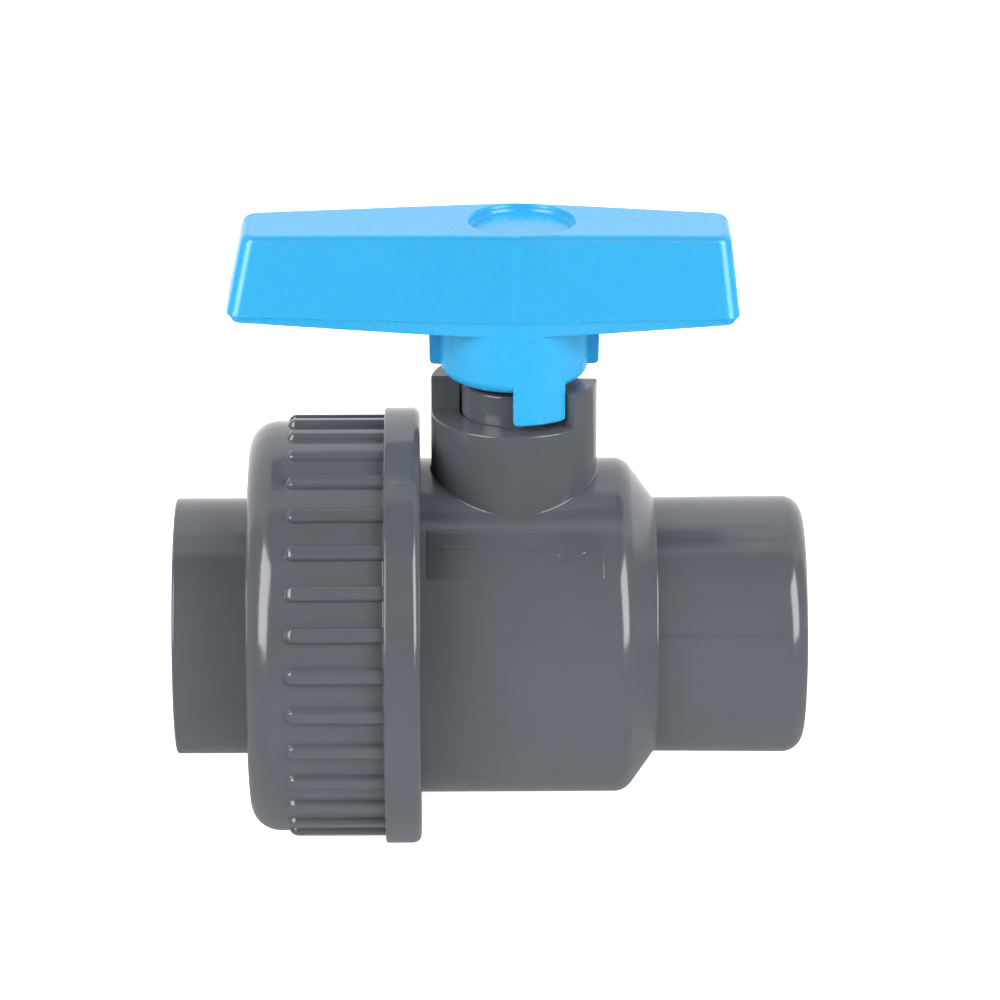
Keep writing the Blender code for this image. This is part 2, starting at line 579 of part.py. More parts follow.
def main():
    clear_scene()
    parts = new_collection("ball_valve")
    cutters = new_collection("cutters")
    grey = new_material("grey_pvc", GREY, 0.38)
    blue = new_material("blue_abs", BLUE, 0.35)
    seat_white = new_material("seat_ptfe", WHITE, 0.3)
    rubber = new_material("seal_rubber", BLACK, 0.6)

    for grey_part in (make_body(parts, cutters), make_nut(parts, cutters), make_connector(parts),
                      make_carrier(parts), make_ball(parts, cutters), make_stem(parts, cutters)):
        finish_part(grey_part, grey)
    finish_part(make_handle(parts, cutters), blue)
    finish_part(turned("ball_seat_fixed", seat_profile(), parts, MEDIUM), seat_white)
    finish_part(turned("ball_seat_carrier", mirrored(seat_profile()), parts, MEDIUM), seat_white)

    cushion_x = SEAT_BACK_X + GAP + CUSHION_GROOVE_DEPTH / 2
    face_x = BODY_LEFT + FACE_GROOVE_DEPTH / 2
    rings = [
        ("seat_cushion_oring_fixed", (cushion_x, 0, 0), CUSHION_R, CUSHION_SECTION_R, "X"),
        ("seat_cushion_oring_carrier", (-cushion_x, 0, 0), CUSHION_R, CUSHION_SECTION_R, "X"),
        ("carrier_body_oring", (CARRIER_RING_X, 0, 0), CARRIER_RING_R, CARRIER_RING_SECTION_R, "X"),
        ("union_face_oring", (face_x, 0, 0), FACE_RING_R, FACE_RING_SECTION_R, "X"),
        ("stem_oring_lower", (0, 0, STEM_RING_HEIGHTS[0]), STEM_RING_R, STEM_RING_SECTION_R, "Z"),
        ("stem_oring_upper", (0, 0, STEM_RING_HEIGHTS[1]), STEM_RING_R, STEM_RING_SECTION_R, "Z"),
    ]
    for name, centre, ring_radius, section_radius, axis in rings:
        finish_part(torus(name, centre, ring_radius, section_radius, axis, parts), rubber)


main()
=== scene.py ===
"""Looks of the single-union PVC ball valve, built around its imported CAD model.

Metres, in the CAD model's frame: origin at the ball's centre, +X along the pipe
towards the fixed socket, +Z up the stem. Angles around the pipe are measured
from the front (-Y) upwards, and around the stem from the front towards +X.
"""
import math

import bmesh
import bpy
import numpy as np
from mathutils import Matrix, Vector


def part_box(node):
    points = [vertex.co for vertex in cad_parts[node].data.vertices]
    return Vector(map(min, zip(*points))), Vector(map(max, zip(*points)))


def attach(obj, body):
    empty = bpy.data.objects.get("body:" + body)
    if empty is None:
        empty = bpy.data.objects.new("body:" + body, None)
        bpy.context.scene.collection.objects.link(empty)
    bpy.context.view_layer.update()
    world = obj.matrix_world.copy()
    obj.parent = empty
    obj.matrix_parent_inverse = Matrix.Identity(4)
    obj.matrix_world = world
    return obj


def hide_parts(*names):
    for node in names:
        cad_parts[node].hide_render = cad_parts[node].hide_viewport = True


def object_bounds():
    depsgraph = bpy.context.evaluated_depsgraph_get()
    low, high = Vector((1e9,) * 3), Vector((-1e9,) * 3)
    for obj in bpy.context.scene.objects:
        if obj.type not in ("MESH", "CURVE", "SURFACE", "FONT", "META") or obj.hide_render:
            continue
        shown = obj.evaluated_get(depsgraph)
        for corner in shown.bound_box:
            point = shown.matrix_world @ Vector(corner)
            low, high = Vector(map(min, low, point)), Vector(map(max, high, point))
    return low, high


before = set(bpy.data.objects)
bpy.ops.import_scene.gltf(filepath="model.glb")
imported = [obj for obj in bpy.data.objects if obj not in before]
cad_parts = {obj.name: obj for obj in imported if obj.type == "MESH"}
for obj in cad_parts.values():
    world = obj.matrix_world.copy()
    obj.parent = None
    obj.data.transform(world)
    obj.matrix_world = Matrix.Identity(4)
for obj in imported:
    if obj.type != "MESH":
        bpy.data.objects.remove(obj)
CAD_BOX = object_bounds()

MM = 0.001
GAP = 0.3 * MM


def x_span(node):
    low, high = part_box(node)
    return low.x, high.x


def outer_radius(node):
    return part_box(node)[1].y


# Sizes read from the frame
BODY_LEFT, BODY_RIGHT = x_span("body")
NUT_LEFT, NUT_RIGHT = x_span("union_nut")
NUT_COLLAR_R = outer_radius("union_nut")
CONNECTOR_LEFT, CONNECTOR_RIGHT = x_span("end_connector")
CONNECTOR_FLANGE_R = outer_radius("end_connector")
CARRIER_FRONT_X = x_span("seal_carrier")[1]
CARRIER_FLANGE_R = outer_radius("seal_carrier")
BALL_R = outer_radius("ball")
SEAT_FRONT_X, SEAT_BACK_X = x_span("ball_seat_fixed")
SEAT_OUTER_R = outer_radius("ball_seat_fixed")
NECK_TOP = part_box("body")[1].z
TANG_BOTTOM, DRIVE_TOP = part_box("stem")[0].z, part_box("stem")[1].z
COLLAR_R = outer_radius("stem")
LUG_BOTTOM, BAR_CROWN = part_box("handle")[0].z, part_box("handle")[1].z
BAR_LEFT, BAR_RIGHT = x_span("handle")

# Sizes of the design that a box doesn't give
SOCKET_R = 25.0 * MM
SOCKET_DEPTH = 31.0 * MM
SOCKET_OUTER_R = 31.2 * MM
SOCKET_FLARE = 0.15 * MM
FLOW_R = 19.0 * MM
BARREL_R = 40.8 * MM
BARREL_END = 26.8 * MM
CONE_END = 33.9 * MM
CHAMBER_R = 33.5 * MM
RECESS_R = 36.5 * MM
RECESS_DEPTH = 4.3 * MM
CARRIER_R = 33.2 * MM
NECK_R = 20.0 * MM
POCKET_FLOOR = 55.5 * MM
POCKET_START, POCKET_END = -92.5, 45.5     # front pocket; the back one lies opposite
HALF_TURN = 180.0
FLUSH = 0.015 * MM                         # keeps joined surfaces from coinciding
SHY = 0.02 * MM                            # how far a cutter stays short of a wall
NEAR = 0.1 * MM                            # tolerance for picking part of a profile
STEM_BORE_R = 13.0 * MM
STEM_R = 12.6 * MM
STEM_SHOULDER = 63.2 * MM
STEM_COLLAR = (30.6 * MM, 35.4 * MM)
STEM_RINGS = (42.0 * MM, 49.0 * MM)
DRIVE_WIDTH = 14.0 * MM
TANG = (7.3 * MM, 17.0 * MM)
SLOT_WIDTH = 8.0 * MM
SLOT_FLOOR = 22.6 * MM
CUSHION_INNER_R, CUSHION_OUTER_R = 21.3 * MM, 24.9 * MM
CUSHION_DEPTH = 3.0 * MM
RING_GROOVE_R = 9.7 * MM
RING_GROOVE_HALF = 1.6 * MM
THREAD_PITCH = 6.0 * MM
BODY_THREAD = (-44.0 * MM, 3.0)             # start, turns
NUT_THREAD = (-41.0 * MM, 2.5)
THREAD_CREST_R = 43.7 * MM
NUT_BORE_R = 44.2 * MM
NUT_TIP_R = 41.3 * MM
NUT_R = 50.0 * MM
NUT_HOLE_R = 32.0 * MM
NUT_SHOULDER = -55.9 * MM
COLLAR_START = -31.3 * MM
RIB_COUNT = 32
RIB_HEIGHT = 1.5 * MM
RIB_HALF_WIDTH = 1.85 * MM
RIB_SIDE = 0.85 * MM
RIB_LEFT, RIB_NOSE = -54.6 * MM, 1.7 * MM
RIB_PHASE = math.radians(7.35)
HUB_R = 17.7 * MM
HUB_SHOULDER = 68.3 * MM
HUB_BOTTOM = 64.7 * MM
HUB_FOOT_R = 13.2 * MM
HUB_TOP = 82.2 * MM                 # inside the bar, where the core starts
CORE_R = 12.0 * MM
DRIVE_SOCKET_HALF = 7.3 * MM
DRIVE_SOCKET_TOP = 82.0 * MM
WEB_HALF = 1.2 * MM                 # stiffening wall along the bar's hollow
WEB_BOTTOM = 87.0 * MM
LUG_START, LUG_END = -1.5, 43.5
LUG_INNER_R = 13.4 * MM
# Heights of the bar at its left end, over the stem and at its right end
BAR_TOP_Z = (102.5 * MM, 103.5 * MM, 102.0 * MM)
BAR_BREAK_Z = (84.0 * MM, 83.3 * MM, 82.9 * MM)
BAR_BOTTOM_Z = (82.1 * MM, 79.0 * MM, 81.0 * MM)
BAR_TOP_LEFT, BAR_TOP_RIGHT = -64.6 * MM, 51.3 * MM
BAR_HALF_END, BAR_HALF_MIDDLE = 10.5 * MM, 14.5 * MM
BAR_FLARE = 3.8 * MM
BAR_CORNER_R, BAR_APEX_R = 3.5 * MM, 22.0 * MM
BAR_BOW = 0.15                      # how softly its heights bend over the stem
BAR_WALL = 2.8 * MM
BAR_LIP = 0.3 * MM                  # the band under the break line is set back
BAR_TUCK = 0.9 * MM
EAR_REACH = 20.5 * MM
EAR_BOTTOM = 67.4 * MM
EAR_ROOT, EAR_TOP = 10 * MM, 90 * MM
EAR_HALF = 1.6 * MM
CAP_RECESS = (1.9 * MM, 12.7 * MM, 2.2 * MM)    # centre's x, radius, depth

AROUND = 180                        # columns of a turned piece
EVERYWHERE = (-1.0, -1.0), (1.0, 1.0)

CAMERA_AZIMUTH, CAMERA_ELEVATION = -0.68, 20.1      # degrees; 0 is straight in front
CAMERA_DISTANCE = 1.2859
CAMERA_TARGET = (-3.36 * MM, 0.0, 32.39 * MM)
CAMERA_LENS = 190.9


# Mesh tools

def rounded(corners, closed=True, degrees_per_step=12.0):
    """Points of an outline of (x, y, fillet radius) corners, in either plane."""
    points = []
    count = len(corners)
    for index, (x, y, radius) in enumerate(corners):
        here = Vector((x, y))
        open_end = not closed and index in (0, count - 1)
        if radius == 0.0 or open_end:
            points.append((x, y))
            continue
        back = (Vector(corners[index - 1][:2]) - here).normalized()
        ahead = (Vector(corners[(index + 1) % count][:2]) - here).normalized()
        half = back.angle(ahead) / 2
        centre = here + (back + ahead).normalized() * radius / math.sin(half)
        start = here + back * radius / math.tan(half) - centre
        side = 1.0 if back.x * ahead.y - back.y * ahead.x < 0 else -1.0
        turn = side * (math.pi - 2 * half)
        steps = max(2, round(abs(math.degrees(turn)) / degrees_per_step))
        for step in range(steps + 1):
            angle = turn * step / steps
            points.append((centre.x + start.x * math.cos(angle) - start.y * math.sin(angle),
                           centre.y + start.x * math.sin(angle) + start.y * math.cos(angle)))
    return points


def densified(points, longest, low, high):
    """The closed outline with points added on segments whose middle is in the low-high box."""
    result = []
    for (x0, y0), (x1, y1) in zip(points, points[1:] + points[:1]):
        result.append((x0, y0))
        inside = low[0] < (x0 + x1) / 2 < high[0] and low[1] < (y0 + y1) / 2 < high[1]
        pieces = math.ceil(math.dist((x0, y0), (x1, y1)) / longest) if inside else 1
        for piece in range(1, pieces):
            share = piece / pieces
            result.append((x0 + (x1 - x0) * share, y0 + (y1 - y0) * share))
    return result


def resample(ring, count):
    """The closed ring of points with the given number of points, evenly spread."""
    points = np.array(ring + ring[:1])
    lengths = np.concatenate([[0], np.cumsum(np.linalg.norm(np.diff(points, axis=0), axis=1))])
    wanted = np.linspace(0, lengths[-1], count, endpoint=False)
    return [tuple(np.interp(want, lengths, points[:, axis]) for axis in range(3)) for want in wanted]


def rectangle(left, right, half_depth):
    return [(left, -half_depth), (right, -half_depth), (right, half_depth), (left, half_depth)]


def direction_of(azimuth, elevation):
    """Unit vector from the valve: azimuth in degrees, 0 in front and positive to the right."""
    turn, rise = math.radians(azimuth), math.radians(elevation)
    return Vector((math.sin(turn) * math.cos(rise), -math.cos(turn) * math.cos(rise), math.sin(rise)))


def add_object(name, bm):
    bmesh.ops.recalc_face_normals(bm, faces=bm.faces)
    mesh = bpy.data.meshes.new(name)
    bm.to_mesh(mesh)
    bm.free()
    obj = bpy.data.objects.new(name, mesh)
    bpy.context.scene.collection.objects.link(obj)
    return obj


def grid_object(name, corners, close_rows=True):
    """Closed skin over an array of points: (rows, columns, xyz), wrapping along columns."""
    rows, columns = corners.shape[:2]
    bm = bmesh.new()
    verts = [bm.verts.new(point) for point in corners.reshape(-1, 3)]
    for row in range(rows if close_rows else rows - 1):
        here, there = row * columns, (row + 1) % rows * columns
        for column in range(columns):
            nearby = (column + 1) % columns
            bm.faces.new((verts[here + column], verts[here + nearby],
                          verts[there + nearby], verts[there + column]))
    if not close_rows:
        bm.faces.new(verts[:columns])
        bm.faces.new(verts[-columns:])
    bmesh.ops.remove_doubles(bm, verts=bm.verts, dist=1e-7)
    return add_object(name, bm)


def lathe(name, profile, axis="X", angles=None, relief=None):
    """A closed profile of (along, radius) points turned about an axis, with optional relief."""
    if angles is None:
        angles = np.arange(AROUND) * math.tau / AROUND
    points = np.array([point[:2] for point in profile])
    along = np.repeat(points[:, :1], len(angles), 1)
    radius = np.repeat(points[:, 1:], len(angles), 1)
    turn = np.repeat(np.array(angles)[None, :], len(points), 0)
    if relief:
        radius = radius + relief(along, radius, turn)
    front, side = -radius * np.cos(turn), radius * np.sin(turn)
    order = (along, front, side) if axis == "X" else (side, front, along)
    return grid_object(name, np.stack(order, 2))


def thread_relief(start, turns, root, tip, foot_width, tip_width):
    """Relief of a right-hand thread on the turned surface of radius root."""
    def relief(along, radius, turn):
        phase = np.mod(math.pi - turn, math.tau) / math.tau
        place = (along - start) / THREAD_PITCH
        total = phase + np.round(place - phase)
        off = np.abs(place - total) * THREAD_PITCH
        height = np.clip((foot_width / 2 - off) / ((foot_width - tip_width) / 2), 0, 1)
        lead = np.clip(np.minimum(total, turns - total) / 0.06 + 1, 0, 1)
        on_root = np.abs(radius - root) < 0.01 * MM
        return np.where(on_root, height * lead * (tip - root), 0.0)
    return relief


def boolean(target, tool, operation):
    """Applies a Boolean and removes the tool."""
    modifier = target.modifiers.new("boolean", "BOOLEAN")
    modifier.operation = operation
    modifier.solver = "MANIFOLD"
    modifier.object = tool
    depsgraph = bpy.context.evaluated_depsgraph_get()
    mesh = bpy.data.meshes.new_from_object(target.evaluated_get(depsgraph))
    target.modifiers.clear()
    target.data = mesh
    bpy.data.objects.remove(tool)
    return target


def prism(name, outline, low, high, edge=0.0, axis="Z"):
    """An outline of (x, y) points, or (x, z) for axis Y, as a solid with rounded edges."""
    bm = bmesh.new()
    if axis == "Z":
        corners = [(x, y, low) for x, y in outline]
        shift = Vector((0, 0, high - low))
    else:
        corners = [(x, low, z) for x, z in outline]
        shift = Vector((0, high - low, 0))
    face = bm.faces.new([bm.verts.new(corner) for corner in corners])
    lifted = bmesh.ops.extrude_face_region(bm, geom=[face])
    verts = [item for item in lifted["geom"] if isinstance(item, bmesh.types.BMVert)]
    bmesh.ops.translate(bm, verts=verts, vec=shift)
    bmesh.ops.recalc_face_normals(bm, faces=bm.faces)
    if edge:
        sharp = [e for e in bm.edges if e.calc_face_angle(0) > math.radians(50)]
        bmesh.ops.bevel(bm, geom=sharp, offset=edge, segments=3, profile=0.5, affect="EDGES")
    return add_object(name, bm)


# Materials

class Nodes:
    """Short names for building one material's node tree."""

    def __init__(self, name):
        self.material = bpy.data.materials.new(name)
        self.material.use_nodes = True
        self.tree = self.material.node_tree
        self.shader = self.tree.nodes["Principled BSDF"]
        self.place = self.tree.nodes.new("ShaderNodeTexCoord").outputs["Object"]

    def link(self, output, socket):
        self.tree.links.new(output, socket)

    def noise(self, scale, detail=3.0, roughness=0.5, stretch=None):
        node = self.tree.nodes.new("ShaderNodeTexNoise")
        node.inputs["Scale"].default_value = scale
        node.inputs["Detail"].default_value = detail
        node.inputs["Roughness"].default_value = roughness
        source = self.place
        if stretch:
            mapping = self.tree.nodes.new("ShaderNodeMapping")
            mapping.inputs["Scale"].default_value = stretch
            self.link(source, mapping.inputs["Vector"])
            source = mapping.outputs["Vector"]
        self.link(source, node.inputs["Vector"])
        return node.outputs["Fac"]

    def ramp(self, factor, stops):
        node = self.tree.nodes.new("ShaderNodeValToRGB")
        elements = node.color_ramp.elements
        while len(elements) < len(stops):
            elements.new(0.5)
        for element, (position, colour) in zip(elements, stops):
            element.position = position
            element.color = (*colour, 1.0) if isinstance(colour, tuple) else (colour,) * 3 + (1.0,)
        self.link(factor, node.inputs["Fac"])
        return node.outputs["Color"]

    def mix(self, factor, first, second, blend="MIX"):
        node = self.tree.nodes.new("ShaderNodeMix")
        node.data_type = "RGBA"
        node.blend_type = blend
        values = (factor, node.inputs[0]), (first, node.inputs[6]), (second, node.inputs[7])
        for value, socket in values:
            if isinstance(value, bpy.types.NodeSocket):
                self.link(value, socket)
            elif isinstance(value, tuple):
                socket.default_value = (*value, 1.0)
            else:
                socket.default_value = value
        return node.outputs[2]

    def map(self, value, low, high, start=0.0, end=1.0):
        node = self.tree.nodes.new("ShaderNodeMapRange")
        node.inputs["From Min"].default_value = start
        node.inputs["From Max"].default_value = end
        node.inputs["To Min"].default_value = low
        node.inputs["To Max"].default_value = high
        self.link(value, node.inputs["Value"])
        return node.outputs["Result"]

    def bump(self, layers):
        """Chains bumps of (height, depth in metres) and feeds the shader's normal."""
        previous = None
        for height, depth in layers:
            node = self.tree.nodes.new("ShaderNodeBump")
            node.inputs["Strength"].default_value = 1.0
            node.inputs["Distance"].default_value = depth
            self.link(height, node.inputs["Height"])
            if previous:
                self.link(previous, node.inputs["Normal"])
            previous = node.outputs["Normal"]
        self.link(previous, self.shader.inputs["Normal"])

    def edges(self):
        """A mask that is bright on outer edges."""
        geometry = self.tree.nodes.new("ShaderNodeNewGeometry")
        return self.map(geometry.outputs["Pointiness"], 0.0, 1.0, 0.52, 0.60)


def moulded_plastic(name, dark, light, worn, gloss, peel, wear):
    """Injection-moulded plastic: soft colour drift, orange peel, fine grain, faint scuffs."""
    nodes = Nodes(name)
    drift = nodes.noise(28.0, 3.0)
    colour = nodes.ramp(drift, [(0.32, dark), (0.68, light)])
    scuffs = nodes.ramp(nodes.noise(160.0, 6.0, 0.65, (1.0, 6.0, 1.0)), [(0.62, 0.0), (0.72, 1.0)])
    edge = nodes.edges()
    marks = nodes.mix(1.0, scuffs, edge, "MULTIPLY")
    colour = nodes.mix(nodes.map(marks, 0.0, wear), colour, worn)
    nodes.link(colour, nodes.shader.inputs["Base Color"])
    grain = nodes.noise(420.0, 4.0, 0.6)
    rough = nodes.map(grain, gloss[0], gloss[1], 0.3, 0.7)
    nodes.link(rough, nodes.shader.inputs["Roughness"])
    nodes.bump([(nodes.noise(60.0, 1.0), peel[0]), (nodes.noise(700.0, 2.0), peel[1]),
                (nodes.noise(3500.0, 2.0), peel[2])])
    nodes.shader.inputs["IOR"].default_value = 1.5
    return nodes.material


def ptfe():
    nodes = Nodes("ptfe_white")
    turning = nodes.noise(900.0, 2.0, 0.5, (6.0, 1.0, 1.0))
    colour = nodes.ramp(nodes.noise(90.0, 4.0), [(0.3, (0.74, 0.74, 0.70)), (0.7, (0.86, 0.86, 0.83))])
    nodes.link(colour, nodes.shader.inputs["Base Color"])
    nodes.link(nodes.map(turning, 0.34, 0.5), nodes.shader.inputs["Roughness"])
    nodes.bump([(turning, 0.00002)])
    nodes.shader.inputs["Subsurface Weight"].default_value = 0.15
    nodes.shader.inputs["Subsurface Scale"].default_value = 0.002
    return nodes.material


def rubber():
    nodes = Nodes("seal_rubber")
    bloom = nodes.noise(300.0, 5.0, 0.6)
    colour = nodes.ramp(bloom, [(0.35, (0.010, 0.010, 0.011)), (0.75, (0.028, 0.028, 0.029))])
    nodes.link(colour, nodes.shader.inputs["Base Color"])
    nodes.link(nodes.map(bloom, 0.38, 0.62), nodes.shader.inputs["Roughness"])
    nodes.bump([(nodes.noise(2600.0, 3.0), 0.00003)])
    return nodes.material


GREY = moulded_plastic("grey_pvc", (0.064, 0.069, 0.077), (0.071, 0.076, 0.085), (0.12, 0.13, 0.14),
                       (0.13, 0.20), (0.00002, 0.000002, 0.0000007), 0.08)
BLUE = moulded_plastic("blue_abs", (0.021, 0.345, 0.655), (0.025, 0.362, 0.682), (0.08, 0.42, 0.72),
                       (0.22, 0.30), (0.00001, 0.000001, 0.0000005), 0.03)
WHITE = ptfe()
BLACK = rubber()


def shade(obj, name, material, sharp):
    """Names the piece and shades it smooth, with edges over the sharp angle left crisp."""
    obj.name = obj.data.name = name
    obj.data.materials.clear()
    obj.data.materials.append(material)
    obj.data.shade_smooth()
    obj.data.set_sharp_from_angle(angle=math.radians(sharp))


def finish_piece(obj, node, body, material, sharp=32.0):
    """Shades the piece and ties it to the CAD node that it stands for."""
    shade(obj, node + ("_shell" if node in ("body", "handle") else "_piece"), material, sharp)
    weighted = obj.modifiers.new("weighted_normals", "WEIGHTED_NORMAL")
    weighted.keep_sharp = True
    weighted.weight = 60
    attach(obj, body)
    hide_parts(node)


# Turned pieces around the pipe axis

def seat_corners():
    contact = BALL_R * math.sqrt(2) + GAP * math.sqrt(2)
    bore = FLOW_R + 0.5 * MM
    return [(contact - bore, bore, 0.3 * MM), (SEAT_FRONT_X, contact - SEAT_FRONT_X, 0.3 * MM),
            (SEAT_FRONT_X, SEAT_OUTER_R, 0.3 * MM), (SEAT_BACK_X, SEAT_OUTER_R, 0.4 * MM),
            (SEAT_BACK_X, bore, 0.4 * MM)]


def pocket_corners(open_x):
    """Seat pocket with its cushion groove, from the ball's side to the waterway."""
    floor = SEAT_BACK_X + GAP
    return [(open_x, SEAT_OUTER_R + GAP, 0.4 * MM), (floor, SEAT_OUTER_R + GAP, 0.2 * MM),
            (floor, CUSHION_OUTER_R, 0.15 * MM), (floor + CUSHION_DEPTH, CUSHION_OUTER_R, 0.3 * MM),
            (floor + CUSHION_DEPTH, CUSHION_INNER_R, 0.3 * MM), (floor, CUSHION_INNER_R, 0.15 * MM),
            (floor, FLOW_R, 0.4 * MM)]


def flipped(corners):
    return [(-x, radius, fillet) for x, radius, fillet in corners]


def make_nut():
    """Ribbed nut: relief for the ribs outside and for the thread inside."""
    nose_end = RIB_LEFT + RIB_NOSE
    outline = [(NUT_LEFT, NUT_HOLE_R, 0.8 * MM), (NUT_LEFT, NUT_R, 7.0 * MM),
               (RIB_LEFT - 0.1 * MM, NUT_R, 0.0), (nose_end, NUT_R, 0.0),
               (COLLAR_START, NUT_R, 0.3 * MM), (COLLAR_START, NUT_COLLAR_R, 0.6 * MM),
               (NUT_RIGHT, NUT_COLLAR_R, 2.0 * MM), (NUT_RIGHT, NUT_BORE_R, 1.0 * MM),
               (BODY_LEFT, NUT_BORE_R, 0.4 * MM), (BODY_LEFT, CONNECTOR_FLANGE_R + 2 * MM, 0.4 * MM),
               (NUT_SHOULDER, CONNECTOR_FLANGE_R + 2 * MM, 0.8 * MM), (NUT_SHOULDER, NUT_HOLE_R, 0.5 * MM)]
    profile = rounded(outline, degrees_per_step=11.5)
    profile = densified(profile, 0.6 * MM, (BODY_LEFT, NUT_BORE_R - NEAR), (NUT_RIGHT, NUT_BORE_R + NEAR))
    profile = densified(profile, 0.25 * MM, (RIB_LEFT - 0.2 * MM, NUT_R - NEAR), (nose_end, NUT_COLLAR_R))
    rib_pitch = math.tau / RIB_COUNT
    offsets = np.array([0.0, 0.7, 1.05, 1.25, 1.45, 1.6, 1.72, 1.8, 1.86, 2.2, 3.6]) * MM / NUT_R
    offsets = np.concatenate([-offsets[:0:-1], offsets])
    angles = (RIB_PHASE + rib_pitch * np.arange(RIB_COUNT)[:, None] + offsets[None, :]).ravel()
    thread = thread_relief(*NUT_THREAD, NUT_BORE_R, NUT_TIP_R, foot_width=3.2 * MM, tip_width=1.5 * MM)

    def relief(along, radius, turn):
        beside = np.abs(np.mod(turn - RIB_PHASE + rib_pitch / 2, rib_pitch) - rib_pitch / 2) * NUT_R
        side = np.clip(1 - (RIB_HALF_WIDTH - beside) / RIB_SIDE, 0, 1)
        nose = np.clip(1 - (along - RIB_LEFT) / RIB_NOSE, 0, 1)
        dome = nose * (beside / RIB_HALF_WIDTH) ** 2
        rib = RIB_HEIGHT * np.sqrt(np.clip(1 - side ** 2 - nose ** 2 - dome, 0, 1))
        outside = (radius > NUT_R - 0.01 * MM) & (along > RIB_LEFT - MM) & (along < COLLAR_START + 0.01 * MM)
        return np.where(outside, np.maximum(NUT_R + rib - radius, 0), 0.0) + thread(along, radius, turn)

    return lathe("nut", profile, angles=angles, relief=relief)


def make_connector():
    socket_floor = CONNECTOR_LEFT + SOCKET_DEPTH
    flange_left = NUT_SHOULDER + GAP
    outline = [(CONNECTOR_LEFT, SOCKET_R, 0.8 * MM), (CONNECTOR_LEFT, SOCKET_OUTER_R, 0.7 * MM),
               (flange_left, SOCKET_OUTER_R, 0.6 * MM), (flange_left, CONNECTOR_FLANGE_R, 0.6 * MM),
               (CONNECTOR_RIGHT, CONNECTOR_FLANGE_R, 0.6 * MM), (CONNECTOR_RIGHT, FLOW_R, 0.5 * MM),
               (socket_floor, FLOW_R, 0.4 * MM), (socket_floor, SOCKET_R, 0.5 * MM)]
    return lathe("connector", rounded(outline))


def make_carrier():
    groove_in, groove_out = 26.2 * MM, 29.8 * MM
    face_floor = BODY_LEFT + 3.1 * MM
    ring_left, ring_right = -37.5 * MM, -33.9 * MM
    flange_right = BODY_LEFT + 4.0 * MM
    ring_floor = 29.9 * MM
    outline = [(BODY_LEFT, FLOW_R, 0.5 * MM), (BODY_LEFT, groove_in, 0.15 * MM),
               (face_floor, groove_in, 0.3 * MM), (face_floor, groove_out, 0.3 * MM),
               (BODY_LEFT, groove_out, 0.15 * MM), (BODY_LEFT, CARRIER_FLANGE_R, 0.4 * MM),
               (flange_right, CARRIER_FLANGE_R, 0.4 * MM), (flange_right, CARRIER_R, 0.2 * MM),
               (ring_left, CARRIER_R, 0.15 * MM), (ring_left, ring_floor, 0.3 * MM),
               (ring_right, ring_floor, 0.3 * MM), (ring_right, CARRIER_R, 0.15 * MM),
               (CARRIER_FRONT_X, CARRIER_R, 0.8 * MM)]
    outline += flipped(pocket_corners(-CARRIER_FRONT_X))
    return lathe("carrier", rounded(outline, degrees_per_step=20.0))


def make_ring(name, centre_x, ring_radius, section_radius, axis="X"):
    """O-ring with the faint flash line of its mould."""
    sides = 28
    profile = []
    for side in range(sides):
        angle = math.tau * side / sides
        radius = section_radius * (1.0 + 0.03 * abs(math.cos(angle)) ** 60)
        profile.append((centre_x + radius * math.sin(angle), ring_radius + radius * math.cos(angle)))
    return lathe(name, profile, axis=axis, angles=np.arange(120) * math.tau / 120)


def make_ball():
    """Turned ball with its waterway, then the stem's slot."""
    mouth = math.asin(FLOW_R / BALL_R)
    steps = 60
    outline = []
    for step in range(steps + 1):
        angle = mouth + 0.02 + (math.pi - 2 * mouth - 0.04) * step / steps
        outline.append((BALL_R * math.cos(angle), BALL_R * math.sin(angle), 0.0))
    edge = math.sqrt(BALL_R ** 2 - FLOW_R ** 2)
    outline += [(-edge + 0.1 * MM, FLOW_R + 0.15 * MM, 0.0), (-edge + 0.6 * MM, FLOW_R, 0.0),
                (edge - 0.6 * MM, FLOW_R, 0.0), (edge - 0.1 * MM, FLOW_R + 0.15 * MM, 0.0)]
    ball = lathe("ball", [point[:2] for point in outline])
    half = SLOT_WIDTH / 2
    slot = prism("slot", rectangle(-half, half, BALL_R), SLOT_FLOOR, BALL_R + MM, 0.5 * MM)
    return boolean(ball, slot, "DIFFERENCE")


# Body

def make_neck():
    """Neck with two stop walls left standing on its rim, edges rounded."""
    step = math.radians(2.0)
    angles = math.radians(POCKET_START) + step * np.arange(AROUND)
    foot = CHAMBER_R / 2
    profile = rounded([(foot, STEM_BORE_R, 0.0), (foot, NECK_R, 0.0), (POCKET_FLOOR, NECK_R, 0.4 * MM),
                       (POCKET_FLOOR, STEM_BORE_R, 0.25 * MM)])
    neck = lathe("neck", profile, "Z", angles)
    for start in (POCKET_END, POCKET_END + HALF_TURN):
        end = start + HALF_TURN - (POCKET_END - POCKET_START)
        outline = []
        steps = 12
        for radius, first, last in ((NECK_R - FLUSH, start, end), (STEM_BORE_R + FLUSH, end, start)):
            for part in range(steps + 1):
                angle = math.radians(first + (last - first) * part / steps)
                outline.append((radius * math.sin(angle), -radius * math.cos(angle)))
        wall = prism("stop_wall", outline, POCKET_FLOOR - 4 * MM, NECK_TOP, 0.35 * MM)
        boolean(neck, wall, "UNION")
    return neck


